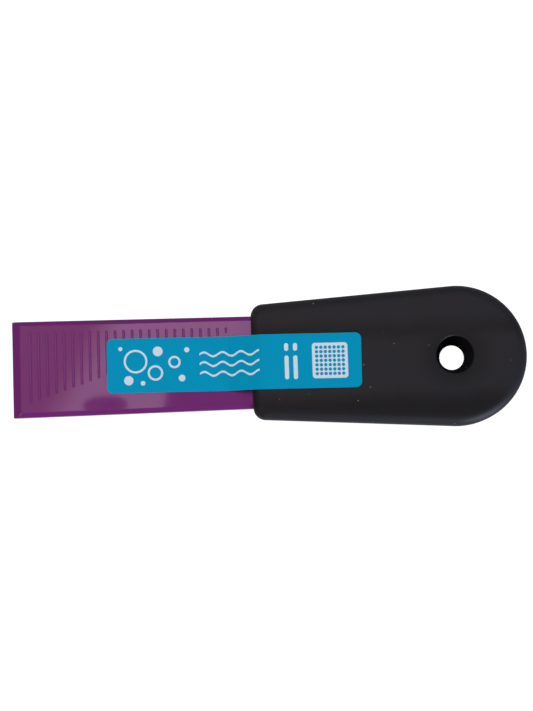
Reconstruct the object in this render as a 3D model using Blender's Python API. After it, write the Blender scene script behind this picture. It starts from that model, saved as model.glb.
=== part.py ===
"""Hand scraper: a bevelled plastic blade, a rigid core that locks its tang, a soft grip and a printed label.

The tool lies along X with its blade towards -X, and its labelled side faces +Z. The origin is under the
middle of the tool's length, on the surface that the handle lies on. All sizes are in metres.
"""

import math

import bmesh
import bpy

# Whole tool
OVERALL_LENGTH = 0.2000
FIT_CLEARANCE = 0.0003
CUT_OVERRUN = 0.0040

# Handle form, measured over the soft grip
HANDLE_LENGTH = 0.1067
HANDLE_FRONT_WIDTH = 0.0448
HANDLE_END_RADIUS = 0.0272
HANDLE_THICKNESS = 0.0160
HANDLE_CORNER_RADIUS = 0.0048
HANDLE_EDGE_ROUNDING = 0.0046
LEAST_ROUNDING = 0.0006
GRIP_WALL = 0.0025

# Hang hole, a funnel from the labelled face down to a short straight throat at the underside
HOLE_TO_END = 0.0282
HOLE_RIM_DIAMETER = 0.0160
HOLE_THROAT_DIAMETER = 0.0097
HOLE_THROAT_LENGTH = 0.0012
HOLE_LIP_RADIUS = 0.0009

# Blade
BLADE_TIP_WIDTH = 0.0376
BLADE_MOUTH_WIDTH = 0.0361
BLADE_THICKNESS = 0.0055
SIDE_CHAMFER_WIDTH = 0.0016
SIDE_CHAMFER_DEPTH = 0.0011
TIP_BEVEL_LENGTH = 0.0032
TIP_EDGE_THICKNESS = 0.0011

# Row of shallow grooves across the blade, which shorten towards the handle
GROOVE_TO_TIP = 0.0072
GROOVE_PITCH = 0.00332
GROOVE_WIDTH = 0.0011
GROOVE_FLOOR_WIDTH = 0.0005
GROOVE_DEPTH = 0.0003
GROOVE_LONGEST = 0.0276
GROOVE_SIDE_MARGIN = 0.0042
GROOVE_ROW_TO_HANDLE = 0.0080

# Root and tang of the blade, inside the handle
ROOT_DEPTH = 0.0090
TANG_WIDTH = 0.0250
TANG_END_WIDTH = 0.0200
TANG_THICKNESS = 0.0040
TANG_END_ROUNDING = 0.0060
TANG_TO_HOLE = 0.0205
ANCHOR_DIAMETER = 0.0085
ANCHOR_COUNT = 3

# Label, stuck to the blade and to the handle, and free across the step between them
LABEL_ON_BLADE = 0.0564
LABEL_ON_HANDLE = 0.0423
LABEL_WIDTH = 0.0212
LABEL_THICKNESS = 0.0003
LABEL_CORNER_RADIUS = 0.0023
LABEL_LIFT_OFF = 0.0095
LABEL_BEND_RADIUS = 0.0060

# Steps of the round forms
END_STEPS = 36
CORNER_STEPS = 5
ROUNDING_STEPS = 5
HOLE_STEPS = 40
LIP_STEPS = 3
SMALL_ARC_STEPS = 4
SMOOTH_ANGLE = math.radians(32)

# Places that follow from the sizes
MIDDLE_Z = HANDLE_THICKNESS / 2
TIP_X = -OVERALL_LENGTH / 2
END_X = OVERALL_LENGTH / 2
FRONT_X = END_X - HANDLE_LENGTH
HOLE_X = END_X - HOLE_TO_END
ROOT_X = FRONT_X + ROOT_DEPTH
TANG_X = HOLE_X - TANG_TO_HOLE
BLADE_TOP_Z = MIDDLE_Z + BLADE_THICKNESS / 2

# Colours (linear RGB) and roughness
BLADE_LOOK = ((0.140, 0.019, 0.126), 0.25)
CORE_LOOK = ((0.030, 0.030, 0.032), 0.50)
GRIP_LOOK = ((0.020, 0.020, 0.023), 0.62)
LABEL_LOOK = ((0.002, 0.262, 0.450), 0.38)


def clear_scene():
    for item in list(bpy.data.objects):
        bpy.data.objects.remove(item, do_unlink=True)


def plastic(name, look):
    """A material from a colour and a roughness."""
    colour, roughness = look
    made = bpy.data.materials.new(name)
    made.use_nodes = True
    shader = made.node_tree.nodes["Principled BSDF"]
    shader.inputs["Base Color"].default_value = (*colour, 1)
    shader.inputs["Roughness"].default_value = roughness
    shader.inputs["Metallic"].default_value = 0
    return made


def add_object(name, bm, material=None):
    """An object from a closed bmesh. Without a material it is a cutter, which isn't part of the tool."""
    bmesh.ops.recalc_face_normals(bm, faces=bm.faces)
    mesh = bpy.data.meshes.new(name)
    bm.to_mesh(mesh)
    bm.free()
    made = bpy.data.objects.new(name, mesh)
    bpy.context.scene.collection.objects.link(made)
    if material:
        mesh.materials.append(material)
        mesh.shade_smooth()
        mesh.set_sharp_from_angle(angle=SMOOTH_ANGLE)
    else:
        made.hide_render = True
        made.display_type = "WIRE"
    return made


def cut(target, cutter, operation="DIFFERENCE"):
    step = target.modifiers.new(f"{operation.lower()} {cutter.name}", "BOOLEAN")
    step.operation = operation
    step.solver = "EXACT"
    step.object = cutter
    return target


def loft(bm, rings):
    """A closed solid through rings with equal counts of points, with a flat cap on the first and last ring."""
    made = [[bm.verts.new(point) for point in ring] for ring in rings]
    for low, high in zip(made, made[1:]):
        for i, corner in enumerate(low):
            after = (i + 1) % len(low)
            bm.faces.new((corner, low[after], high[after], high[i]))
    bm.faces.new(made[0])
    bm.faces.new(made[-1])


def arc(centre, radius, start, stop, steps):
    """Points on an arc between two angles, both ends included."""
    return [
        (
            centre[0] + radius * math.cos(start + (stop - start) * i / steps),
            centre[1] + radius * math.sin(start + (stop - start) * i / steps),
        )
        for i in range(steps + 1)
    ]


def handle_outline(inset):
    """Plan of the handle, drawn in by an inset: straight sides that run on smoothly into the round end."""
    quarter = math.pi / 2
    corner_y = HANDLE_FRONT_WIDTH / 2 - HANDLE_CORNER_RADIUS
    centre_x = END_X - HANDLE_END_RADIUS
    run = centre_x - FRONT_X - HANDLE_CORNER_RADIUS
    spread = HANDLE_END_RADIUS - HANDLE_CORNER_RADIUS
    flare = math.asin(spread / math.hypot(run, corner_y)) - math.atan2(corner_y, run)
    side = HANDLE_END_RADIUS - centre_x * math.sin(flare) - inset
    radius = max(HANDLE_CORNER_RADIUS - inset, LEAST_ROUNDING)
    corner_x = FRONT_X + inset + radius
    corner_y = (side - radius + corner_x * math.sin(flare)) / math.cos(flare)
    turn = quarter + flare
    return (
        arc((centre_x, 0), HANDLE_END_RADIUS - inset, -turn, turn, END_STEPS)
        + arc((corner_x, corner_y), radius, turn, math.pi, CORNER_STEPS)
        + arc((corner_x, -corner_y), radius, math.pi, math.tau - turn, CORNER_STEPS)
    )


def handle_form(name, inset, material=None):
    """The handle's rounded body, drawn in on every side by an inset."""
    rounding = max(HANDLE_EDGE_ROUNDING - inset, LEAST_ROUNDING)
    rounding = min(rounding, MIDDLE_Z - inset - LEAST_ROUNDING)
    levels = []
    for i in range(ROUNDING_STEPS + 1):
        angle = math.pi / 2 * i / ROUNDING_STEPS
        drawn_in = inset + rounding * (1 - math.sin(angle))
        levels.append((drawn_in, inset + rounding * (1 - math.cos(angle))))
    levels += [(drawn_in, HANDLE_THICKNESS - z) for drawn_in, z in reversed(levels)]
    bm = bmesh.new()
    loft(bm, [[(x, y, z) for x, y in handle_outline(drawn_in)] for drawn_in, z in levels])
    return add_object(name, bm, material)


def hole_profile():
    """Radius and height of the hang hole's wall, from below the underside to above the labelled face."""
    lip = HOLE_LIP_RADIUS
    rim = HOLE_RIM_DIAMETER / 2
    throat = HOLE_THROAT_DIAMETER / 2
    throat_end = lip + HOLE_THROAT_LENGTH
    rise = HANDLE_THICKNESS - lip - throat_end
    slant = math.acos(lip / math.hypot(rim - throat, rise)) - math.atan2(rise, rim - throat)
    lower_lip = arc((throat + lip, lip), lip, math.pi * 3 / 2, math.pi, LIP_STEPS)
    upper_lip = arc((rim, HANDLE_THICKNESS - lip), lip, math.pi - slant, math.pi / 2, LIP_STEPS)
    below = [(throat + lip, -CUT_OVERRUN)]
    above = [(rim, HANDLE_THICKNESS + CUT_OVERRUN)]
    return below + lower_lip + [(throat, throat_end)] + upper_lip + above


def hole_form(name, grow):
    """The hang hole as a solid, turned about its axis and grown sideways."""
    rings = []
    for radius, z in hole_profile():
        circle = arc((HOLE_X, 0), radius + grow, 0, math.tau, HOLE_STEPS)[:-1]
        rings.append([(x, y, z) for x, y in circle])
    bm = bmesh.new()
    loft(bm, rings)
    return add_object(name, bm)


def blade_half_width(x):
    """Half of the blade's width, which narrows from the tip to the handle and on inside it."""
    share = (x - TIP_X) / (FRONT_X - TIP_X)
    return (BLADE_TIP_WIDTH + (BLADE_MOUTH_WIDTH - BLADE_TIP_WIDTH) * share) / 2


def blade_section(x, grow=0):
    """The eight corners of the blade's cross-section, a slab with chamfered edges."""
    side = blade_half_width(x) + grow
    face = BLADE_THICKNESS / 2 + grow
    quarter = ((side, face - SIDE_CHAMFER_DEPTH), (side - SIDE_CHAMFER_WIDTH, face))
    upper = list(quarter) + [(-y, z) for y, z in reversed(quarter)]
    ring = upper + [(y, -z) for y, z in reversed(upper)]
    return [(x, y, MIDDLE_Z + z) for y, z in ring]


def blade_tip_corners():
    """The corners where the tip's bevels meet the faces, the side chamfers and the blunt edge."""
    drop = (BLADE_THICKNESS - TIP_EDGE_THICKNESS) / 2
    meet_x = TIP_X + TIP_BEVEL_LENGTH * (1 - SIDE_CHAMFER_DEPTH / drop)
    face_x = TIP_X + TIP_BEVEL_LENGTH
    corners = (
        (TIP_X, blade_half_width(TIP_X), TIP_EDGE_THICKNESS / 2),
        (meet_x, blade_half_width(meet_x), BLADE_THICKNESS / 2 - SIDE_CHAMFER_DEPTH),
        (face_x, blade_half_width(face_x) - SIDE_CHAMFER_WIDTH, BLADE_THICKNESS / 2),
    )
    return [(x, y * left, MIDDLE_Z + z * up) for x, y, z in corners for left in (1, -1) for up in (1, -1)]


def hull_object(name, points, material=None):
    bm = bmesh.new()
    made = [bm.verts.new(point) for point in points]
    bmesh.ops.convex_hull(bm, input=made)
    bmesh.ops.dissolve_limit(bm, angle_limit=math.radians(0.01), verts=bm.verts, edges=bm.edges)
    return add_object(name, bm, material)


def root_cutter(name):
    """Room for the blade where it enters the handle, from outside its front to behind the root."""
    front = blade_section(FRONT_X - CUT_OVERRUN, FIT_CLEARANCE)
    back = blade_section(ROOT_X + FIT_CLEARANCE, FIT_CLEARANCE)
    return hull_object(name, front + back)


def tang_form(name, grow):
    """The tang, a tapered slab with a rounded end, which starts inside the root."""
    quarter = math.pi / 2
    start_x = ROOT_X - ROOT_DEPTH / 2
    end_x = TANG_X + grow
    radius = TANG_END_ROUNDING + grow
    end_side = TANG_END_WIDTH / 2 + grow
    upper = [(start_x, TANG_WIDTH / 2 + grow)]
    upper += reversed(arc((end_x - radius, end_side - radius), radius, 0, quarter, SMALL_ARC_STEPS))
    outline = upper + [(x, -y) for x, y in reversed(upper)]
    half = TANG_THICKNESS / 2 + grow
    bm = bmesh.new()
    loft(bm, [[(x, y, MIDDLE_Z + z) for x, y in outline] for z in (-half, half)])
    return add_object(name, bm)


def anchor_pins(name, radius, half_height):
    """Round bars at the tang's anchor holes, evenly spaced from the root to the tang's end."""
    pitch = (TANG_X - ROOT_X) / ANCHOR_COUNT
    bm = bmesh.new()
    for i in range(ANCHOR_COUNT):
        centre = (ROOT_X + pitch * (i + 0.5), 0)
        circle = arc(centre, radius, 0, math.tau, HOLE_STEPS // 2)[:-1]
        loft(bm, [[(x, y, MIDDLE_Z + z) for x, y in circle] for z in (-half_height, half_height)])
    return add_object(name, bm)


def groove_row(name):
    """Cutters for the grooves: round-ended troughs whose lower ends lie on a slanting line."""
    room = FRONT_X - GROOVE_ROW_TO_HANDLE - TIP_X - GROOVE_TO_TIP
    count = int(room / GROOVE_PITCH) + 1
    flare = (GROOVE_WIDTH - GROOVE_FLOOR_WIDTH) / 2
    bm = bmesh.new()
    for i in range(count):
        x = TIP_X + GROOVE_TO_TIP + GROOVE_PITCH * i
        length = GROOVE_LONGEST + (GROOVE_WIDTH - GROOVE_LONGEST) * i / max(count - 1, 1)
        end_y = blade_half_width(x) - GROOVE_SIDE_MARGIN
        high = end_y - GROOVE_WIDTH / 2
        low = end_y - length + GROOVE_WIDTH / 2
        rings = []
        for rise in (-1, 1):
            half = GROOVE_WIDTH / 2 + flare * rise
            outline = arc((x, high), half, 0, math.pi, SMALL_ARC_STEPS)
            outline += arc((x, low), half, math.pi, math.tau, SMALL_ARC_STEPS)
            rings.append([(px, py, BLADE_TOP_Z + GROOVE_DEPTH * rise) for px, py in outline])
        loft(bm, rings)
    return add_object(name, bm)


def make_blade():
    """The blade's one moulding: bevelled slab, root and tang, with its grooves and anchor holes."""
    material = plastic("purple_gloss_plastic", BLADE_LOOK)
    blade = hull_object("blade", blade_tip_corners() + blade_section(ROOT_X), material)
    cut(blade, tang_form("tang_body", 0), "UNION")
    cut(blade, anchor_pins("anchor_holes", ANCHOR_DIAMETER / 2, BLADE_THICKNESS))
    cut(blade, groove_row("groove_cutters"))


def make_core():
    """The rigid core, moulded round the root and tang and through the tang's holes."""
    core = handle_form("grip_core", GRIP_WALL, plastic("black_core_plastic", CORE_LOOK))
    room = tang_form("tang_room", FIT_CLEARANCE)
    cut(room, anchor_pins("anchor_plugs", ANCHOR_DIAMETER / 2 - FIT_CLEARANCE, HANDLE_THICKNESS))
    cut(core, room)
    cut(core, root_cutter("root_room"))
    cut(core, hole_form("core_hole", GRIP_WALL))


def make_grip():
    """The soft grip: a skin over the whole core that also lines the hang hole."""
    inner = GRIP_WALL - FIT_CLEARANCE
    grip = handle_form("soft_grip", 0, plastic("black_soft_grip", GRIP_LOOK))
    room = handle_form("core_room", inner)
    cut(room, hole_form("hole_lining", inner))
    cut(grip, room)
    cut(grip, root_cutter("blade_mouth"))
    cut(grip, hole_form("hang_hole", 0))


def label_path():
    """The label's underside from its blade end to its handle end, as (x, z, slope) stations.

    It lies on the blade, bends up, runs straight to the handle's rounded front edge, follows that
    edge over its top and lies on the handle's face.
    """
    low_z = BLADE_TOP_Z + FIT_CLEARANCE
    rounding = min(HANDLE_EDGE_ROUNDING, MIDDLE_Z - LEAST_ROUNDING)
    edge_x = FRONT_X + rounding
    edge_z = HANDLE_THICKNESS - rounding
    edge_radius = rounding + FIT_CLEARANCE
    lift_x = FRONT_X - LABEL_LIFT_OFF
    reach = math.hypot(edge_x - lift_x, low_z - edge_z)
    slope = math.asin(edge_radius / reach) - math.atan2(low_z - edge_z, edge_x - lift_x)
    start_x = FRONT_X - LABEL_ON_BLADE
    bend_x = lift_x - LABEL_BEND_RADIUS * math.tan(slope / 2)
    path = [(start_x, low_z, 0)]
    for i in range(SMALL_ARC_STEPS + 1):
        angle = slope * i / SMALL_ARC_STEPS
        x = bend_x + LABEL_BEND_RADIUS * math.sin(angle)
        path.append((x, low_z + LABEL_BEND_RADIUS * (1 - math.cos(angle)), angle))
    for i in range(SMALL_ARC_STEPS + 1):
        angle = slope * (1 - i / SMALL_ARC_STEPS)
        path.append((edge_x - edge_radius * math.sin(angle), edge_z + edge_radius * math.cos(angle), angle))
    path.append((FRONT_X + LABEL_ON_HANDLE, edge_z + edge_radius, 0))
    return path


def label_end(station, inward):
    """Stations with the half-widths of one rounded end, from its square edge to the full width."""
    x, z, slope = station
    radius = LABEL_CORNER_RADIUS
    turned = arc((0, 0), radius, 0, math.pi / 2, SMALL_ARC_STEPS)
    square = LABEL_WIDTH / 2 - radius
    return [((x + inward * (radius - along), z, slope), square + rise) for along, rise in turned]


def make_label():
    """The label, a thin bent sheet with round corners."""
    path = label_path()
    stations = label_end(path[0], 1)
    stations += [(station, LABEL_WIDTH / 2) for station in path[1:-1]]
    stations += reversed(label_end(path[-1], -1))
    rings = []
    for (x, z, slope), half in stations:
        top_x = x - LABEL_THICKNESS * math.sin(slope)
        top_z = z + LABEL_THICKNESS * math.cos(slope)
        rings.append([(x, -half, z), (x, half, z), (top_x, half, top_z), (top_x, -half, top_z)])
    bm = bmesh.new()
    loft(bm, rings)
    add_object("label", bm, plastic("turquoise_label", LABEL_LOOK))


def main():
    clear_scene()
    make_blade()
    make_core()
    make_grip()
    make_label()


main()
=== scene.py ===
"""Looks of the cleaning scraper: its blade, grip and label, their finishes, and the studio."""

import contextlib
import math

import bmesh
import bpy
from mathutils import Matrix, Vector


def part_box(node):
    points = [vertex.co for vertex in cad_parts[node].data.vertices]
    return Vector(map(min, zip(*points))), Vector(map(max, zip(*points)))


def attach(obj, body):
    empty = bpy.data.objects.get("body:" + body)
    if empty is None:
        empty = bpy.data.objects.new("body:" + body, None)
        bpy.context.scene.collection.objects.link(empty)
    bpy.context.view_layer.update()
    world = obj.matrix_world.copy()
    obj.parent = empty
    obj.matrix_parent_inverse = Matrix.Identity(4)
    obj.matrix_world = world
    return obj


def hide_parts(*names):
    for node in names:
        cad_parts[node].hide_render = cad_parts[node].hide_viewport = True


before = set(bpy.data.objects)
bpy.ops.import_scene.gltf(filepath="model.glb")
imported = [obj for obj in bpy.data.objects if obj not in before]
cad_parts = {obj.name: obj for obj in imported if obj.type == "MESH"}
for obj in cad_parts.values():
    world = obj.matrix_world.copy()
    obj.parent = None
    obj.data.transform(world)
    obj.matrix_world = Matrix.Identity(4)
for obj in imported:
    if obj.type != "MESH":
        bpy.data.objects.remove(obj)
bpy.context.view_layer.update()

bl_info = {
    "name": "Cleaning scraper",
    "version": (1, 0, 0),
    "blender": (4, 5, 0),
    "location": "View3D > Sidebar > Scraper",
    "description": "Models a hand scraper's blade, soft grip and label, and sets its studio",
    "category": "Object",
}

ROOT_BODY = "root"
GRIP_LOW, GRIP_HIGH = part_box("soft_grip")
BLADE_LOW, BLADE_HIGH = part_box("blade")
LABEL_LOW, LABEL_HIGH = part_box("label")
CORE_LOW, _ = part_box("grip_core")

# Places and sizes that the frame gives
MIDDLE_Z = (GRIP_LOW.z + GRIP_HIGH.z) / 2
FRONT_X = GRIP_LOW.x
END_RADIUS = GRIP_HIGH.y
END_CENTRE_X = GRIP_HIGH.x - END_RADIUS
TIP_X = BLADE_LOW.x
TIP_WIDTH = BLADE_HIGH.y - BLADE_LOW.y
BLADE_THICKNESS = BLADE_HIGH.z - BLADE_LOW.z
CORE_INSET = CORE_LOW.z - GRIP_LOW.z
LABEL_WIDTH = LABEL_HIGH.y - LABEL_LOW.y

# How far apart two places may lie and still count as the same
SAME = 1e-6
# How far a cutter reaches past the face that it opens
CUT_OVERRUN = 0.004

# How finely round shapes are divided
END_SIDES = 144
HOLE_SIDES = 128
ANCHOR_SIDES = 48
GROOVE_SIDES = 24
EDGE_STEPS = 12
LIP_STEPS = 8
TANG_CORNER_STEPS = 10
SOFTENING_STEPS = 3
LABEL_CORNER_STEPS = 12
LABEL_BEND_STEPS = 12


class ScraperSizes(bpy.types.PropertyGroup):
    """Sizes that the frame's boxes don't give."""

    front_width: bpy.props.FloatProperty(
        name="Front width", description="Handle's width at the blade", default=0.0448, unit="LENGTH"
    )
    corner_radius: bpy.props.FloatProperty(
        name="Corner radius",
        description="Handle's front corners in plan",
        default=0.0048,
        unit="LENGTH",
    )
    edge_rounding: bpy.props.FloatProperty(
        name="Edge rounding",
        description="Radius along the handle's edges",
        default=0.0046,
        unit="LENGTH",
    )
    hole_to_end: bpy.props.FloatProperty(
        name="Hole to end",
        description="Hang hole's centre to the round end",
        default=0.0282,
        unit="LENGTH",
    )
    hole_rim: bpy.props.FloatProperty(
        name="Hole rim",
        description="Hang hole's diameter at the labelled face",
        default=0.0160,
        unit="LENGTH",
    )
    hole_throat: bpy.props.FloatProperty(
        name="Hole throat", description="Hang hole's least diameter", default=0.0097, unit="LENGTH"
    )
    throat_length: bpy.props.FloatProperty(
        name="Throat length",
        description="Length of the hole's straight part",
        default=0.0012,
        unit="LENGTH",
    )
    lip_radius: bpy.props.FloatProperty(
        name="Lip radius",
        description="Rounding where the hole meets a face",
        default=0.0009,
        unit="LENGTH",
    )
    mouth_width: bpy.props.FloatProperty(
        name="Blade at mouth",
        description="Blade's width at the handle",
        default=0.0361,
        unit="LENGTH",
    )
    root_depth: bpy.props.FloatProperty(
        name="Root depth",
        description="Full-width part of the blade in the handle",
        default=0.0090,
        unit="LENGTH",
    )
    side_chamfer_width: bpy.props.FloatProperty(
        name="Side chamfer width",
        description="Chamfer on the blade's face",
        default=0.0016,
        unit="LENGTH",
    )
    side_chamfer_depth: bpy.props.FloatProperty(
        name="Side chamfer depth",
        description="Chamfer on the blade's side",
        default=0.0011,
        unit="LENGTH",
    )
    tip_bevel: bpy.props.FloatProperty(
        name="Tip bevel",
        description="Length of the bevel at the tip",
        default=0.0032,
        unit="LENGTH",
    )
    tip_edge: bpy.props.FloatProperty(
        name="Tip edge", description="Thickness left at the tip", default=0.0011, unit="LENGTH"
    )
    edge_softening: bpy.props.FloatProperty(
        name="Edge softening",
        description="Wear along the blade's edges",
        default=0.0003,
        unit="LENGTH",
    )
    groove_to_tip: bpy.props.FloatProperty(
        name="Groove to tip",
        description="First groove's distance from the tip",
        default=0.0072,
        unit="LENGTH",
    )
    groove_pitch: bpy.props.FloatProperty(
        name="Groove pitch",
        description="Distance between two grooves",
        default=0.00332,
        unit="LENGTH",
    )
    groove_width: bpy.props.FloatProperty(
        name="Groove width",
        description="Width of a groove at the face",
        default=0.0011,
        unit="LENGTH",
    )
    groove_depth: bpy.props.FloatProperty(
        name="Groove depth", description="Depth of a groove", default=0.0002, unit="LENGTH"
    )
    groove_longest: bpy.props.FloatProperty(
        name="Longest groove",
        description="Length of the groove next to the tip",
        default=0.0276,
        unit="LENGTH",
    )
    groove_shortest: bpy.props.FloatProperty(
        name="Shortest groove",
        description="Length of the groove at the handle",
        default=0.0022,
        unit="LENGTH",
    )
    groove_margin: bpy.props.FloatProperty(
        name="Groove margin",
        description="Groove's upper end to the blade's side",
        default=0.0042,
        unit="LENGTH",
    )
    groove_count: bpy.props.IntProperty(name="Grooves", description="Number of grooves", default=24)
    tang_width: bpy.props.FloatProperty(
        name="Tang width", description="Tang's width at the root", default=0.0250, unit="LENGTH"
    )
    tang_end_width: bpy.props.FloatProperty(
        name="Tang end width", description="Tang's width at its end", default=0.0200, unit="LENGTH"
    )
    tang_thickness: bpy.props.FloatProperty(
        name="Tang thickness", description="Tang's thickness", default=0.0040, unit="LENGTH"
    )
    tang_rounding: bpy.props.FloatProperty(
        name="Tang rounding",
        description="Radius of the tang's end corners",
        default=0.0060,
        unit="LENGTH",
    )
    anchor_hole: bpy.props.FloatProperty(
        name="Anchor hole",
        description="Diameter of the tang's holes",
        default=0.0085,
        unit="LENGTH",
    )
    anchor_count: bpy.props.IntProperty(
        name="Anchor holes", description="Holes in the tang", default=3
    )
    clearance: bpy.props.FloatProperty(
        name="Clearance", description="Gap between moulded-in pieces", default=0.0003, unit="LENGTH"
    )
    film_thickness: bpy.props.FloatProperty(
        name="Film thickness", description="Label's thickness", default=0.00018, unit="LENGTH"
    )
    film_gap: bpy.props.FloatProperty(
        name="Film gap", description="Adhesive under the label", default=0.00004, unit="LENGTH"
    )
    film_corner: bpy.props.FloatProperty(
        name="Film corner",
        description="Radius of the label's corners",
        default=0.0023,
        unit="LENGTH",
    )
    film_lift_off: bpy.props.FloatProperty(
        name="Film lift-off",
        description="Where the label leaves the blade",
        default=0.0095,
        unit="LENGTH",
    )
    film_turn: bpy.props.FloatProperty(
        name="Film turn",
        description="How far the label is stuck on askew, about its end on the blade",
        default=math.radians(-0.62),
        subtype="ANGLE",
    )
    film_offset: bpy.props.FloatProperty(
        name="Film offset",
        description="Label's end on the blade off the middle",
        default=0.0002,
        unit="LENGTH",
    )
    film_bend: bpy.props.FloatProperty(
        name="Film bend",
        description="Radius of the label's bend at the blade",
        default=0.0060,
        unit="LENGTH",
    )


class ScraperColours(bpy.types.PropertyGroup):
    """Colours of the finishes, as linear RGB."""

    blade: bpy.props.FloatVectorProperty(
        name="Blade", description="Gloss plastic", subtype="COLOR", default=(0.134, 0.0172, 0.127)
    )
    core: bpy.props.FloatVectorProperty(
        name="Core", description="Hidden plastic", subtype="COLOR", default=(0.030, 0.030, 0.032)
    )
    grip: bpy.props.FloatVectorProperty(
        name="Grip",
        description="Soft black rubber",
        subtype="COLOR",
        default=(0.0118, 0.0112, 0.0133),
    )
    dust: bpy.props.FloatVectorProperty(
        name="Dust", description="Specks on the grip", subtype="COLOR", default=(0.22, 0.22, 0.23)
    )
    film: bpy.props.FloatVectorProperty(
        name="Label", description="Printed film", subtype="COLOR", default=(0.0, 0.248, 0.422)
    )
    ink: bpy.props.FloatVectorProperty(
        name="Print",
        description="White of the label's marks",
        subtype="COLOR",
        default=(0.53, 0.62, 0.68),
    )


class StudioSettings(bpy.types.PropertyGroup):
    """Camera and light."""

    distance: bpy.props.FloatProperty(
        name="Distance",
        description="Camera to the middle of the tool",
        default=0.700,
        unit="LENGTH",
    )
    tilt: bpy.props.FloatProperty(
        name="Tilt",
        description="Camera's lean off the upright",
        default=math.radians(5.35),
        subtype="ANGLE",
    )
    roll: bpy.props.FloatProperty(
        name="Roll",
        description="Tool's turn in the picture",
        default=math.radians(1.87),
        subtype="ANGLE",
    )
    lens: bpy.props.FloatProperty(name="Lens", description="Focal length in mm", default=90.87)
    frame_right: bpy.props.FloatProperty(
        name="Frame right",
        description="Camera's shift along the picture",
        default=-0.00107,
        unit="LENGTH",
    )
    frame_up: bpy.props.FloatProperty(
        name="Frame up", description="Camera's shift up the picture", default=0.00262, unit="LENGTH"
    )
    room_light: bpy.props.FloatProperty(
        name="Room light", description="Even light from all sides", default=0.09
    )


class Wire:
    """An output socket of a material's nodes, which Python's arithmetic works on."""

    def __init__(self, recipe, socket):
        self.recipe = recipe
        self.socket = socket

    def math(self, operation, *others):
        values = dict(enumerate((self, *others)))
        return self.recipe.node("ShaderNodeMath", {"operation": operation}, values)

    def __add__(self, other):
        return self.math("ADD", other)

    def __sub__(self, other):
        return self.math("SUBTRACT", other)

    def __rsub__(self, other):
        return self.recipe.node("ShaderNodeMath", {"operation": "SUBTRACT"}, {0: other, 1: self})

    def __mul__(self, other):
        return self.math("MULTIPLY", other)

    def __truediv__(self, other):
        return self.math("DIVIDE", other)

    __radd__ = __add__
    __rmul__ = __mul__

    def __abs__(self):
        return self.math("ABSOLUTE")

    def at_least(self, other):
        return self.math("MAXIMUM", other)

    def at_most(self, other):
        return self.math("MINIMUM", other)

    def repeated(self, period):
        """This value's place in a repeat of that period, from 0 to the period."""
        return self.math("FLOORED_MODULO", period)

    def step(self, low, high):
        """0 below low, 1 above high, and a smooth rise between them."""
        values = {0: self, 1: low, 2: high, 3: 0.0, 4: 1.0}
        return self.recipe.node("ShaderNodeMapRange", {"interpolation_type": "SMOOTHSTEP"}, values)


class Recipe:
    """A material and its nodes."""

    def __init__(self, name):
        self.material = bpy.data.materials.new(name)
        self.material.use_nodes = True
        self.tree = self.material.node_tree
        self.shader = self.tree.nodes["Principled BSDF"]

    def node(self, kind, settings=None, values=None, output=0):
        """Adds a node, with its settings first, then the values or wires of its sockets."""
        made = self.tree.nodes.new(kind)
        for name, value in (settings or {}).items():
            setattr(made, name, value)
        for key, value in (values or {}).items():
            self.feed(made.inputs[key], value)
        return Wire(self, made.outputs[output])

    def feed(self, socket, value):
        if isinstance(value, Wire):
            self.tree.links.new(value.socket, socket)
        else:
            socket.default_value = value

    def set(self, **values):
        """Sets the shader's sockets, named with underscores for spaces."""
        for name, value in values.items():
            self.feed(self.shader.inputs[name.replace("_", " ")], value)

    def mix(self, share, first, second):
        """A colour between two colours."""
        settings = {"data_type": "RGBA"}
        return self.node("ShaderNodeMix", settings, {0: share, 6: first, 7: second}, output=2)

    def place(self):
        """The point on the piece, in metres."""
        return self.node("ShaderNodeTexCoord", output="Object")

    def axes(self):
        """The point's x, y and z as three wires."""
        split = self.node("ShaderNodeSeparateXYZ", None, {0: self.place()})
        return [Wire(self, socket) for socket in split.socket.node.outputs]

    def noise(self, size, detail=2.0, stretch=(1, 1, 1)):
        """Noise from 0 to 1, with grains of that size in metres and a stretch along each axis."""
        scale = [1 / (size * factor) for factor in stretch]
        point = self.node("ShaderNodeMapping", None, {"Vector": self.place(), "Scale": scale})
        values = {"Vector": point, "Scale": 1.0, "Detail": detail}
        return self.node("ShaderNodeTexNoise", None, values)

    def relief(self, height, depth, under=None):
        """A bump of that depth in metres, over another one if given."""
        values = {"Height": height, "Distance": depth, "Strength": 1.0}
        if under:
            values["Normal"] = under
        return self.node("ShaderNodeBump", None, values)


def solid_colour(colour):
    return (*colour, 1.0)


def select_only(obj):
    bpy.ops.object.select_all(action="DESELECT")
    obj.select_set(True)
    bpy.context.view_layer.objects.active = obj


@contextlib.contextmanager
def editing(obj, kind="VERT"):
    """Edit mode on one object, which starts with nothing selected."""
    select_only(obj)
    bpy.ops.object.mode_set(mode="EDIT")
    bpy.ops.mesh.select_mode(type=kind)
    bpy.ops.mesh.select_all(action="DESELECT")
    yield
    bpy.ops.object.mode_set(mode="OBJECT")


def pick(obj, kind, wanted):
    """Selects the points, edges or faces of the edited mesh that pass a test, and nothing else."""
    bpy.ops.mesh.select_all(action="DESELECT")
    mesh = bmesh.from_edit_mesh(obj.data)
    for item in getattr(mesh, kind):
        if wanted(item):
            item.select_set(True)
    mesh.select_flush_mode()
    bmesh.update_edit_mesh(obj.data)


def settle(obj, name):
    """Names an object and puts its place, turn and scale into its mesh."""
    obj.name = name
    obj.data.name = name
    select_only(obj)
    bpy.ops.object.transform_apply(location=True, rotation=True, scale=True)
    return obj


def join(objects, name):
    select_only(objects[0])
    for obj in objects:
        obj.select_set(True)
    bpy.ops.object.join()
    return settle(objects[0], name)


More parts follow.
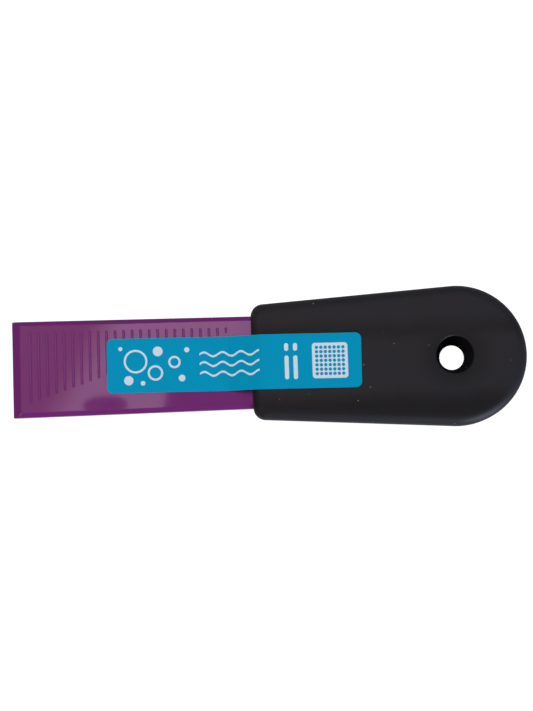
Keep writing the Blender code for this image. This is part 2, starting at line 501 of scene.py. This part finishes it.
def close_up(obj):
    """Merges doubled points and turns all faces outwards."""
    with editing(obj):
        bpy.ops.mesh.select_all(action="SELECT")
        bpy.ops.mesh.remove_doubles(threshold=SAME)
        bpy.ops.mesh.normals_make_consistent(inside=False)


def apply_boolean(target, tool, operation="DIFFERENCE"):
    """Cuts a tool out of a piece, or joins it on, and removes the tool."""
    step = target.modifiers.new(operation, "BOOLEAN")
    step.operation = operation
    step.solver = "EXACT"
    step.object = tool
    select_only(target)
    bpy.ops.object.modifier_apply(modifier=step.name)
    bpy.data.objects.remove(tool, do_unlink=True)


def shade(obj, angle):
    """Smooth shading up to an angle, with the flat faces kept flat."""
    select_only(obj)
    bpy.ops.object.shade_smooth_by_angle(angle=angle)
    step = obj.modifiers.new("flat faces", "WEIGHTED_NORMAL")
    step.keep_sharp = True
    step.weight = 100
    bpy.ops.object.modifier_apply(modifier=step.name)


def dress(obj, material, node):
    """Gives a finished piece its material and its body, and hides the imported part that it stands
    in for.
    """
    obj.data.materials.clear()
    obj.data.materials.append(material)
    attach(obj, ROOT_BODY)
    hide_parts(node)


def turned(name, centre, profile, sides):
    """A solid turned about an upright axis, from pairs of radius and height, lowest first."""
    radius, z = profile[0]
    bpy.ops.mesh.primitive_circle_add(
        vertices=sides, radius=radius, fill_type="NGON", location=(*centre, z)
    )
    made = bpy.context.object
    with editing(made):
        bpy.ops.mesh.select_all(action="SELECT")
        for next_radius, next_z in profile[1:]:
            bpy.ops.mesh.extrude_region_move(TRANSFORM_OT_translate={"value": (0, 0, next_z - z)})
            share = next_radius / radius
            bpy.ops.transform.resize(value=(share, share, 1), center_override=(*centre, next_z))
            radius, z = next_radius, next_z
    settle(made, name)
    close_up(made)
    return made


def paddle(name, inset, sizes):
    """The handle's body: the hull of its round end and two front corners, with rounded edges."""
    depth = GRIP_HIGH.z - GRIP_LOW.z - 2 * inset
    corner = sizes.corner_radius
    corner_x = FRONT_X + corner
    corner_y = sizes.front_width / 2 - corner
    posts = []
    for x, y, radius in (
        (END_CENTRE_X, 0, END_RADIUS),
        (corner_x, corner_y, corner),
        (corner_x, -corner_y, corner),
    ):
        bpy.ops.mesh.primitive_cylinder_add(
            vertices=END_SIDES, radius=radius - inset, depth=depth, location=(x, y, MIDDLE_Z)
        )
        posts.append(bpy.context.object)
    body = join(posts, name)
    with editing(body):
        bpy.ops.mesh.select_all(action="SELECT")
        bpy.ops.mesh.convex_hull(use_existing_faces=False, join_triangles=False)
        bpy.ops.mesh.select_all(action="SELECT")
        bpy.ops.mesh.dissolve_limited(angle_limit=math.radians(0.5))
    with editing(body, "EDGE"):
        pick(body, "edges", lambda edge: abs(edge.verts[0].co.z - edge.verts[1].co.z) < SAME)
        bpy.ops.mesh.bevel(
            offset=sizes.edge_rounding - inset,
            segments=EDGE_STEPS,
            affect="EDGES",
            clamp_overlap=False,
        )
    close_up(body)
    return body


def hole_plug(name, grow, sizes):
    """The hang hole as a solid: a funnel with a rounded lip and a throat that flares underneath."""
    lip = sizes.lip_radius
    rim = sizes.hole_rim / 2
    throat = sizes.hole_throat / 2
    throat_end = GRIP_LOW.z + lip + sizes.throat_length
    rise = GRIP_HIGH.z - lip - throat_end
    slant = math.acos(lip / math.hypot(rim - throat, rise)) - math.atan2(rise, rim - throat)
    flare = throat + lip
    profile = [(flare, GRIP_LOW.z - CUT_OVERRUN)]
    for i in range(LIP_STEPS + 1):
        angle = math.pi * (1.5 - 0.5 * i / LIP_STEPS)
        profile.append((flare + lip * math.cos(angle), GRIP_LOW.z + lip + lip * math.sin(angle)))
    profile.append((throat, throat_end))
    for i in range(LIP_STEPS + 1):
        angle = math.pi - slant + (slant - math.pi / 2) * i / LIP_STEPS
        profile.append((rim + lip * math.cos(angle), GRIP_HIGH.z - lip + lip * math.sin(angle)))
    profile.append((rim, GRIP_HIGH.z + CUT_OVERRUN))
    profile = [(radius + grow, z) for radius, z in profile]
    return turned(name, (GRIP_HIGH.x - sizes.hole_to_end, 0), profile, HOLE_SIDES)


def blade_half_width(x, sizes):
    share = (x - TIP_X) / (FRONT_X - TIP_X)
    return (TIP_WIDTH + (sizes.mouth_width - TIP_WIDTH) * share) / 2


def slice_off(obj, point, normal):
    """Cuts a piece along a plane, removes what lies on the normal's side and fills the cut."""
    across = Vector(normal).normalized()
    with editing(obj):
        bpy.ops.mesh.select_all(action="SELECT")
        bpy.ops.mesh.bisect(
            plane_co=point, plane_no=across, use_fill=True, clear_outer=True, threshold=SAME / 10
        )


def bar(name, start_x, end_x, grow, sizes):
    """The blade's slab between two places: tapered in plan, with a chamfer along all four edges."""
    start = blade_half_width(start_x, sizes) + grow
    end = blade_half_width(end_x, sizes) + grow
    face = BLADE_THICKNESS / 2 + grow
    bpy.ops.mesh.primitive_cube_add(
        size=1,
        location=((start_x + end_x) / 2, 0, MIDDLE_Z),
        scale=(end_x - start_x, 2 * start, 2 * face),
    )
    made = settle(bpy.context.object, name)
    with editing(made):
        pick(made, "verts", lambda point: point.co.x > end_x - SAME)
        bpy.ops.transform.resize(value=(1, end / start, 1), center_override=(end_x, 0, MIDDLE_Z))
    for side in (-1, 1):
        for up in (-1, 1):
            along = Vector((end_x - start_x, side * (end - start), 0))
            down = Vector((0, side * sizes.side_chamfer_width, -up * sizes.side_chamfer_depth))
            normal = along.cross(down)
            if normal.z * up < 0:
                normal.negate()
            point = (start_x, side * (start - sizes.side_chamfer_width), MIDDLE_Z + up * face)
            slice_off(made, point, normal)
    return made


def tang(sizes):
    """The narrow end of the blade's moulding, a tapered slab with rounded corners."""
    start_x = FRONT_X + sizes.root_depth / 2
    end_x = BLADE_HIGH.x
    bpy.ops.mesh.primitive_cube_add(
        size=1,
        location=((start_x + end_x) / 2, 0, MIDDLE_Z),
        scale=(end_x - start_x, sizes.tang_width, sizes.tang_thickness),
    )
    made = settle(bpy.context.object, "tang")
    with editing(made, "EDGE"):
        pick(made, "edges", lambda edge: all(point.co.x > end_x - SAME for point in edge.verts))
        share = sizes.tang_end_width / sizes.tang_width
        bpy.ops.transform.resize(value=(1, share, 1), center_override=(end_x, 0, MIDDLE_Z))
        pick(
            made,
            "edges",
            lambda edge: all(point.co.x > end_x - SAME for point in edge.verts)
            and abs(edge.verts[0].co.y - edge.verts[1].co.y) < SAME,
        )
        bpy.ops.mesh.bevel(
            offset=sizes.tang_rounding,
            segments=TANG_CORNER_STEPS,
            affect="EDGES",
            clamp_overlap=False,
        )
    close_up(made)
    return made


def anchor_holes(sizes):
    """The cutter for the tang's holes."""
    root_x = FRONT_X + sizes.root_depth
    pitch = (BLADE_HIGH.x - root_x) / sizes.anchor_count
    radius = sizes.anchor_hole / 2
    profile = [(radius, MIDDLE_Z - BLADE_THICKNESS), (radius, MIDDLE_Z + BLADE_THICKNESS)]
    cutters = [
        turned("anchor", (root_x + pitch * (i + 0.5), 0), profile, ANCHOR_SIDES)
        for i in range(sizes.anchor_count)
    ]
    return join(cutters, "anchors")


def groove_cutters(sizes):
    """One round-ended trough for each groove, modelled once and drawn out to each length."""
    depth = sizes.groove_depth
    radius = ((sizes.groove_width / 2) ** 2 + depth**2) / (2 * depth)
    bpy.ops.mesh.primitive_uv_sphere_add(
        segments=GROOVE_SIDES,
        ring_count=GROOVE_SIDES,
        radius=radius,
        rotation=(math.pi / 2, 0, 0),
    )
    pattern = settle(bpy.context.object, "groove")
    cutters = []
    for i in range(sizes.groove_count):
        x = TIP_X + sizes.groove_to_tip + sizes.groove_pitch * i
        share = i / (sizes.groove_count - 1)
        length = sizes.groove_longest + (sizes.groove_shortest - sizes.groove_longest) * share
        y = blade_half_width(x, sizes) - sizes.groove_margin - sizes.groove_width / 2
        made = pattern.copy()
        made.data = pattern.data.copy()
        bpy.context.scene.collection.objects.link(made)
        with editing(made):
            pick(made, "verts", lambda point: point.co.y < -SAME)
            bpy.ops.transform.translate(value=(0, sizes.groove_width - length, 0))
            bpy.ops.mesh.select_all(action="SELECT")
            bpy.ops.transform.translate(value=(x, y, BLADE_HIGH.z + radius - depth))
        cutters.append(made)
    bpy.data.objects.remove(pattern, do_unlink=True)
    return join(cutters, "grooves")


def film_folds(sizes):
    """The label laid flat: where it ends along x, and the place and turn of each of its folds.

    It leaves the blade in a gentle bend, runs straight to the handle's rounded edge and follows
    that edge on to the face. Each bend is a row of small folds.
    """
    low_z = BLADE_HIGH.z + sizes.film_gap
    edge_x = FRONT_X + sizes.edge_rounding
    edge_z = GRIP_HIGH.z - sizes.edge_rounding
    edge_radius = sizes.edge_rounding + sizes.film_gap
    lift_x = FRONT_X - sizes.film_lift_off
    reach = math.hypot(edge_x - lift_x, low_z - edge_z)
    slope = math.asin(edge_radius / reach) - math.atan2(low_z - edge_z, edge_x - lift_x)
    turn = slope / LABEL_BEND_STEPS
    folds = []
    place = lift_x - sizes.film_bend * math.tan(slope / 2)
    for radius, way in ((sizes.film_bend, 1), (edge_radius, -1)):
        half = radius * math.tan(turn / 2)
        for _ in range(LABEL_BEND_STEPS):
            folds.append((place + half, way * turn))
            place += 2 * half
        if way > 0:
            place += math.sqrt(reach**2 - edge_radius**2) - sizes.film_bend * math.tan(slope / 2)
    return place + LABEL_HIGH.x - edge_x, folds


def label_marks(recipe, sizes):
    """The label's print, a made-up pattern: bubbles, three waves, upright bars and a grid of dots.

    The result is 1 on a mark and 0 beside it.
    """
    x, y, _ = recipe.axes()
    y = y - sizes.film_offset - (x - LABEL_LOW.x) * math.tan(sizes.film_turn)
    x = x - LABEL_LOW.x
    blur = 0.00006

    def drawn(depth):
        return 1 - depth.step(-blur, blur)

    def disc(centre_x, centre_y, radius):
        """Distance outside a disc."""
        across = x - centre_x
        up = y - centre_y
        return (across * across + up * up).math("SQRT") - radius

    def pill(left, right, low, high, roundness=0.0012):
        """Distance outside a bar with rounded ends or corners."""
        half_x = (right - left) / 2
        half_y = (high - low) / 2
        radius = min(half_x, half_y, roundness)
        across = (abs(x - (left + half_x)) - (half_x - radius)).at_least(0.0)
        up = (abs(y - (low + half_y)) - (half_y - radius)).at_least(0.0)
        return (across * across + up * up).math("SQRT") - radius

    line = 0.0004
    shapes = [
        disc(centre_x, centre_y, radius)
        for centre_x, centre_y, radius in (
            (0.0054, 0.0066, 0.0008),
            (0.0084, -0.0058, 0.0018),
            (0.0139, -0.0069, 0.0009),
            (0.0199, 0.0054, 0.0019),
            (0.0291, -0.0052, 0.0013),
            (0.0312, 0.0058, 0.0010),
        )
    ]
    shapes += [
        abs(disc(centre_x, centre_y, radius - line)) - line
        for centre_x, centre_y, radius in (
            (0.0112, 0.0016, 0.0046),
            (0.0188, -0.0030, 0.0030),
            (0.0263, 0.0011, 0.0024),
        )
    ]
    wave_length, wave_height = 0.0072, 0.0008
    waves_middle, waves_half = 0.0477, 0.0116
    # The waves' rows repeat without end, and only the three nearest to the middle are kept
    row = 0.0038
    wave = y - (x * (math.tau / wave_length)).math("SINE") * wave_height
    waves = abs((wave + row * 10.5).repeated(row) - row / 2) - line
    ends = abs(x - waves_middle) - waves_half
    shapes.append(waves.at_least(abs(wave) - row * 1.5).at_least(ends))
    bar_width = 0.0016
    for left in (0.0690, 0.0724):
        for low, high in ((-0.0070, 0.0022), (0.0040, 0.0070)):
            shapes.append(pill(left, left + bar_width, low, high))
    nearest = shapes[0]
    for shape in shapes[1:]:
        nearest = nearest.at_most(shape)

    square = 0.0137
    square_left = 0.0797
    border = 0.0009
    dots_left = square_left + border
    dots_half = square / 2 - border
    dots_in_row = 7
    pitch = (square - 2 * border) / dots_in_row
    dot_radius = pitch * 0.39
    off_x = abs((x - dots_left).repeated(pitch) - pitch / 2)
    off_y = abs((y + dots_half).repeated(pitch) - pitch / 2)
    dot = (off_x * off_x + off_y * off_y).math("SQRT") - dot_radius
    inside = pill(dots_left, square_left + square - border, -dots_half, dots_half)
    panel = drawn(pill(square_left, square_left + square, -square / 2, square / 2))
    return drawn(nearest).at_least(panel * (1 - drawn(dot) * drawn(inside)))


def blade_finish(colours):
    """Gloss moulded plastic: slightly uneven and cloudy, with fine scratches along the blade."""
    recipe = Recipe("purple_gloss_plastic")
    colour = Vector(colours.blade)
    cloud = recipe.noise(0.020, 3.0)
    smears = recipe.noise(0.006, 4.0)
    hairlines = recipe.noise(0.0004, 2.0, (40, 1, 1))
    unevenness = recipe.relief(recipe.noise(0.012, 1.0), 0.000010)
    scratches = recipe.relief(recipe.noise(0.0005, 2.0, (60, 1, 1)), 0.00000025, under=unevenness)
    recipe.set(
        Base_Color=recipe.mix(cloud, solid_colour(colour * 0.94), solid_colour(colour * 1.06)),
        Roughness=0.02 + smears * 0.03 + hairlines * 0.01,
        Specular_IOR_Level=0.5,
        IOR=1.5,
        Normal=scratches,
    )
    return recipe.material


def grip_finish(name, base, colours, sizes, specular):
    """Soft-touch rubber: matt, finely grained and cloudy, with streaks and dust, and painted shade:
    darker in a ring about the hang hole, in a band along the +y half of the face and along the -y
    edge.
    """
    recipe = Recipe(name)
    base = Vector(base)
    patches = recipe.noise(0.018, 4.0)
    streaks = recipe.noise(0.0016, 3.0, (14, 1, 1))
    warm = solid_colour((base.x * 1.08, base.y * 1.00, base.z * 0.95))
    cool = solid_colour((base.x * 0.93, base.y * 0.97, base.z * 1.07))
    cloudy = recipe.mix(patches.step(0.35, 0.65), cool, warm)
    rubbed = recipe.mix(streaks * 0.30, cloudy, solid_colour(base * 1.5))
    # Painted shade: the rubber's colour is darkened in a ring about the hang hole, in a wavy band
    # along the +y half of the face and along the -y edge
    x, y, _ = recipe.axes()
    hole_x = x - (GRIP_HIGH.x - sizes.hole_to_end)
    painted_shade_ring = 1 - (hole_x * hole_x + y * y).math("SQRT").step(0.006, 0.018)
    y = y + recipe.noise(0.015, 2.0) * 0.005 - 0.0025
    painted_shade_band = 1 - abs(y - 0.0105).step(0.0, 0.006)
    painted_shade_edge = 1 - y.step(-0.0190, -0.0110)
    painted_shade = (painted_shade_band * 0.45).at_least(painted_shade_edge * 0.75).at_least(painted_shade_ring * 0.55)
    # The painted shade mixes the colour towards a quarter of the rubber's own colour
    skin = recipe.mix(painted_shade, rubbed, solid_colour(base * 0.25))
    specks = recipe.node(
        "ShaderNodeTexVoronoi", {"feature": "F1"}, {"Vector": recipe.place(), "Scale": 240.0}
    )
    few = recipe.noise(0.009, 1.0).step(0.54, 0.62)
    dust = (1 - specks.step(0.030, 0.070)) * few
    dents = recipe.relief(recipe.noise(0.007, 2.0), 0.00004)
    recipe.set(
        Base_Color=recipe.mix(dust, skin, solid_colour(colours.dust)),
        Roughness=0.50 + patches * 0.10 + streaks * 0.05 + dust * 0.2,
        Specular_IOR_Level=specular,
        IOR=1.5,
        Normal=recipe.relief(recipe.noise(0.00022, 3.0), 0.000012, under=dents),
    )
    return recipe.material


def film_finish(colours, sizes):
    """Satin printed film with white marks, a faint print grain and a faint unevenness all over."""
    recipe = Recipe("turquoise_label")
    film = Vector(colours.film)
    grain = recipe.noise(0.0012, 2.0)
    tint = recipe.mix(grain, solid_colour(film * 0.97), solid_colour(film * 1.03))
    ink = label_marks(recipe, sizes)
    recipe.set(
        Base_Color=recipe.mix(ink, tint, solid_colour(colours.ink)),
        Roughness=0.38 + grain * 0.08,
        Specular_IOR_Level=0.03,
        Normal=recipe.relief(recipe.noise(0.010, 2.0), 0.00005),
    )
    return recipe.material


def core_finish(colours):
    """Plain moulded plastic with a faint flow grain."""
    recipe = Recipe("black_core_plastic")
    colour = Vector(colours.core)
    flow = recipe.noise(0.003, 3.0, (4, 1, 1))
    recipe.set(
        Base_Color=recipe.mix(flow, solid_colour(colour * 0.9), solid_colour(colour * 1.1)),
        Roughness=0.42 + flow * 0.12,
        Normal=recipe.relief(flow, 0.00002),
    )
    return recipe.material


class SCRAPER_OT_make_blade(bpy.types.Operator):
    """Models the blade: bevelled slab, grooves, root and tang"""

    bl_idname = "scraper.make_blade"
    bl_label = "Blade"

    def execute(self, context):
        sizes = context.scene.scraper_sizes
        blade = bar("blade_moulding", TIP_X, FRONT_X + sizes.root_depth, 0, sizes)
        drop = (BLADE_THICKNESS - sizes.tip_edge) / 2
        for up in (-1, 1):
            point = (TIP_X, 0, MIDDLE_Z + up * sizes.tip_edge / 2)
            slice_off(blade, point, (-drop, 0, up * sizes.tip_bevel))
        close_up(blade)
        with editing(blade, "EDGE"):
            bpy.ops.mesh.select_all(action="SELECT")
            bpy.ops.mesh.bevel(
                offset=sizes.edge_softening, segments=SOFTENING_STEPS, affect="EDGES"
            )
        close_up(blade)
        apply_boolean(blade, tang(sizes), "UNION")
        apply_boolean(blade, anchor_holes(sizes))
        apply_boolean(blade, groove_cutters(sizes))
        shade(blade, math.radians(28))
        dress(blade, blade_finish(context.scene.scraper_colours), "blade")
        return {"FINISHED"}


class SCRAPER_OT_make_grip(bpy.types.Operator):
    """Models the soft grip: a rounded skin over the core, with the blade's mouth and a hang hole"""

    bl_idname = "scraper.make_grip"
    bl_label = "Soft grip"

    def execute(self, context):
        sizes = context.scene.scraper_sizes
        inner = CORE_INSET - sizes.clearance
        grip = paddle("grip_skin", 0, sizes)
        room = paddle("core_room", inner, sizes)
        apply_boolean(room, hole_plug("lining", inner, sizes))
        apply_boolean(grip, room)
        mouth_end = FRONT_X + sizes.root_depth
        apply_boolean(grip, bar("mouth", FRONT_X - CUT_OVERRUN, mouth_end, sizes.film_gap, sizes))
        apply_boolean(grip, hole_plug("hang_hole", 0, sizes))
        close_up(grip)
        shade(grip, math.radians(32))
        colours = context.scene.scraper_colours
        outside = grip_finish("black_soft_grip", colours.grip, colours, sizes, 0.30)
        dress(grip, outside, "soft_grip")
        inside = grip_finish("dull_hole_wall", Vector(colours.grip) * 1.3, colours, sizes, 0.0)
        grip.data.materials.append(inside)
        centre = Vector((GRIP_HIGH.x - sizes.hole_to_end, 0))
        wall_reach = sizes.hole_rim / 2 - sizes.lip_radius * 0.85
        flattest = 0.7
        for face in grip.data.polygons:
            on_wall = (face.center.xy - centre).length < wall_reach
            face.material_index = int(on_wall and abs(face.normal.z) < flattest)
        return {"FINISHED"}


class SCRAPER_OT_make_label(bpy.types.Operator):
    """Models the label: a thin film with round corners, folded from the blade up to the handle"""

    bl_idname = "scraper.make_label"
    bl_label = "Label"

    def execute(self, context):
        sizes = context.scene.scraper_sizes
        end_x, folds = film_folds(sizes)
        low_z = BLADE_HIGH.z + sizes.film_gap
        bpy.ops.mesh.primitive_plane_add(size=1, location=((LABEL_LOW.x + end_x) / 2, 0, low_z))
        film = bpy.context.object
        film.scale = (end_x - LABEL_LOW.x, LABEL_WIDTH, 1)
        settle(film, "label_film")
        with editing(film):
            bpy.ops.mesh.select_all(action="SELECT")
            bpy.ops.mesh.bevel(
                offset=sizes.film_corner, segments=LABEL_CORNER_STEPS, affect="VERTICES"
            )
            bpy.ops.mesh.select_all(action="SELECT")
            bpy.ops.transform.rotate(
                value=-sizes.film_turn, orient_axis="Z", center_override=(LABEL_LOW.x, 0, low_z)
            )
            bpy.ops.transform.translate(value=(0, sizes.film_offset, 0))
            for place, _ in folds:
                bpy.ops.mesh.select_all(action="SELECT")
                bpy.ops.mesh.bisect(plane_co=(place, 0, 0), plane_no=(1, 0, 0), threshold=SAME / 10)
            for place, turn in reversed(folds):
                pick(film, "verts", lambda point, place=place: point.co.x > place + SAME)
                bpy.ops.transform.rotate(
                    value=turn, orient_axis="Y", center_override=(place, 0, low_z)
                )
        wall = film.modifiers.new("film", "SOLIDIFY")
        wall.thickness = sizes.film_thickness
        wall.offset = 1
        select_only(film)
        bpy.ops.object.modifier_apply(modifier=wall.name)
        close_up(film)
        shade(film, math.radians(20))
        dress(film, film_finish(context.scene.scraper_colours, sizes), "label")
        return {"FINISHED"}


class SCRAPER_OT_finish_core(bpy.types.Operator):
    """Gives the hidden core its material"""

    bl_idname = "scraper.finish_core"
    bl_label = "Core"

    def execute(self, context):
        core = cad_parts["grip_core"]
        core.data.materials.clear()
        core.data.materials.append(core_finish(context.scene.scraper_colours))
        return {"FINISHED"}


def aim(obj, target):
    """Turns a light to face a point."""
    away = Vector(target) - obj.location
    obj.rotation_euler = away.to_track_quat("-Z", "Y").to_euler()


def softbox(name, place, width, height, power, colour):
    """A rectangular lamp aimed at the tool, which the camera doesn't see."""
    lamp = bpy.data.lights.new(name, "AREA")
    lamp.shape = "RECTANGLE"
    lamp.size = width
    lamp.size_y = height
    lamp.energy = power
    lamp.color = colour
    made = bpy.data.objects.new(name, lamp)
    bpy.context.scene.collection.objects.link(made)
    made.location = place
    made.visible_camera = False
    aim(made, (0, 0, MIDDLE_Z))
    return made


class SCRAPER_OT_set_studio(bpy.types.Operator):
    """Adds the pale floor, the lamps, the room's light and the camera"""

    bl_idname = "scraper.set_studio"
    bl_label = "Studio"

    def execute(self, context):
        studio = context.scene.scraper_studio
        self.add_floor()
        self.add_lamps()
        self.add_card()
        self.light_room(context.scene, studio)
        self.place_camera(context.scene, studio)
        context.scene.view_settings.view_transform = "Standard"
        return {"FINISHED"}

    def add_floor(self):
        width, gap = 6, 0.0001
        bpy.ops.object.select_all(action="DESELECT")
        bpy.ops.mesh.primitive_plane_add(size=width, location=(0, 0, GRIP_LOW.z - gap))
        floor = settle(bpy.context.object, "floor")
        recipe = Recipe("pale_floor")
        recipe.set(Base_Color=(0.16, 0.16, 0.16, 1), Roughness=0.9, Specular_IOR_Level=0.0)
        seen = recipe.node("ShaderNodeLightPath", output="Is Camera Ray")
        mirrored = recipe.node("ShaderNodeLightPath", output="Is Glossy Ray")
        dim = recipe.mix(mirrored, (0, 0, 0, 1), (0.30, 0.30, 0.32, 1))
        glow = recipe.mix(seen, dim, (0.985, 0.985, 0.985, 1))
        recipe.set(Emission_Color=glow, Emission_Strength=1.0)
        floor.data.materials.append(recipe.material)

    def add_lamps(self):
        cold, cool = (0.70, 0.77, 1.0), (0.95, 0.96, 1.0)
        even, warm = (0.96, 0.965, 1.0), (1.0, 0.90, 0.86)
        overhead = softbox("overhead", (-0.08, 0.35, 1.20), 1.10, 0.80, power=13.6, colour=even)
        overhead.visible_glossy = False
        softbox("window", (0.51, -0.79, 0.06), 0.28, 0.08, power=8.7, colour=cold)
        softbox("right", (0.62, 0.42, 0.85), 0.60, 0.60, power=1.2, colour=cool)
        softbox("left", (-0.80, -0.45, 0.95), 0.75, 0.75, power=4.6, colour=warm)

    def add_card(self):
        """A pale card over the tool, which only gloss mirrors.

        It is warm and dim where the blade's tip mirrors it, and bright where the rest of the blade
        does, with two dark gaps at the blade's lower edge. Over the handle it is dim again.
        """
        low_x, high_x, low_y, high_y, card_z = -0.60, 0.30, -0.01, 0.20, 0.60
        place = ((low_x + high_x) / 2, (low_y + high_y) / 2, card_z)
        bpy.ops.mesh.primitive_plane_add(size=1, location=place)
        card = bpy.context.object
        card.scale = (high_x - low_x, high_y - low_y, 1)
        settle(card, "card")
        recipe = Recipe("card")
        x, y, _ = recipe.axes()
        least, tip_glow, blade_glow, upper_glow, handle_glow = 0.50, 0.35, 1.55, 0.25, 0.22
        handle_loss, gap_loss = 0.95, 0.92
        blade = (x - (y - 0.030) * 0.57).step(-0.164, -0.132)
        handle = x.step(-0.03, 0.06)
        glow = blade * (y.step(0.05, 0.09) * upper_glow + blade_glow)
        glow = (glow + x.step(-0.32, -0.24) * tip_glow + least) * (1 - handle * handle_loss)
        glow = glow + x.step(0.04, 0.16) * handle_glow
        gap_x, gap_y, gap_half_x, gap_half_y, squareness = -0.1175, 0.0246, 0.0156, 0.0063, 2.5
        across = abs((x - gap_x) / gap_half_x).math("POWER", squareness)
        up = abs((y - gap_y) / gap_half_y).math("POWER", squareness)
        round_gap = 1 - (across + up).step(0.80, 1.20)
        long_gap = (x - (y - 0.044) * 0.15).step(-0.0735, -0.0700) * (1 - y.step(0.0425, 0.0455))
        glow = glow * (1 - round_gap.at_least(long_gap) * gap_loss)
        tip_tint, blade_tint = (1.0, 0.62, 0.28, 1), (1.0, 0.76, 0.86, 1)
        handle_tint = (0.84, 0.84, 1.0, 1)
        tint = recipe.mix(handle, recipe.mix(blade, tip_tint, blade_tint), handle_tint)
        brightest = 3.0
        recipe.set(
            Base_Color=(0, 0, 0, 1),
            Specular_IOR_Level=0.0,
            Emission_Color=recipe.mix(glow / brightest, (0, 0, 0, 1), tint),
            Emission_Strength=brightest,
        )
        card.data.materials.append(recipe.material)
        card.visible_camera = False
        card.visible_diffuse = False
        card.visible_shadow = False

    def light_room(self, scene, studio):
        world = bpy.data.worlds.new("room")
        scene.world = world
        world.use_nodes = True
        tree = world.node_tree
        room = tree.nodes["Background"]
        room.inputs["Strength"].default_value = studio.room_light
        room.inputs["Color"].default_value = (1, 1, 1, 1)
        seen = tree.nodes.new("ShaderNodeBackground")
        path = tree.nodes.new("ShaderNodeLightPath")
        mix = tree.nodes.new("ShaderNodeMixShader")
        tree.links.new(path.outputs["Is Camera Ray"], mix.inputs[0])
        tree.links.new(room.outputs[0], mix.inputs[1])
        tree.links.new(seen.outputs[0], mix.inputs[2])
        tree.links.new(mix.outputs[0], tree.nodes["World Output"].inputs["Surface"])

    def place_camera(self, scene, studio):
        lens = bpy.data.cameras.new("camera")
        lens.lens = studio.lens
        lens.clip_start = 0.01
        camera = bpy.data.objects.new("camera", lens)
        scene.collection.objects.link(camera)
        ahead = Vector((0, math.sin(studio.tilt), -math.cos(studio.tilt)))
        level_right = Vector((1, 0, 0))
        level_up = level_right.cross(ahead)
        right = level_right * math.cos(studio.roll) - level_up * math.sin(studio.roll)
        up = level_right * math.sin(studio.roll) + level_up * math.cos(studio.roll)
        centre = Vector((0, 0, MIDDLE_Z)) + right * studio.frame_right + up * studio.frame_up
        axes = Matrix((right, up, -ahead)).transposed().to_4x4()
        camera.matrix_world = Matrix.Translation(centre - ahead * studio.distance) @ axes
        scene.camera = camera


class SCRAPER_PT_tools(bpy.types.Panel):
    """The steps that build the scraper, in the order that they run"""

    bl_label = "Cleaning scraper"
    bl_idname = "SCRAPER_PT_tools"
    bl_space_type = "VIEW_3D"
    bl_region_type = "UI"
    bl_category = "Scraper"

    def draw(self, context):
        column = self.layout.column()
        for step in STEPS:
            column.operator(step.bl_idname)
        for name in ("scraper_sizes", "scraper_colours", "scraper_studio"):
            group = getattr(context.scene, name)
            box = self.layout.box()
            for key in group.bl_rna.properties.keys():
                if key not in ("rna_type", "name"):
                    box.prop(group, key)


STEPS = (
    SCRAPER_OT_make_blade,
    SCRAPER_OT_make_grip,
    SCRAPER_OT_make_label,
    SCRAPER_OT_finish_core,
    SCRAPER_OT_set_studio,
)
GROUPS = {
    "scraper_sizes": ScraperSizes,
    "scraper_colours": ScraperColours,
    "scraper_studio": StudioSettings,
}


def register():
    for made in (*GROUPS.values(), *STEPS, SCRAPER_PT_tools):
        bpy.utils.register_class(made)
    for name, group in GROUPS.items():
        setattr(bpy.types.Scene, name, bpy.props.PointerProperty(type=group))


def unregister():
    for name in GROUPS:
        delattr(bpy.types.Scene, name)
    for made in (SCRAPER_PT_tools, *STEPS, *GROUPS.values()):
        bpy.utils.unregister_class(made)


def main():
    register()
    bpy.ops.scraper.make_blade()
    bpy.ops.scraper.make_grip()
    bpy.ops.scraper.make_label()
    bpy.ops.scraper.finish_core()
    bpy.ops.scraper.set_studio()


if __name__ == "__main__":
    main()
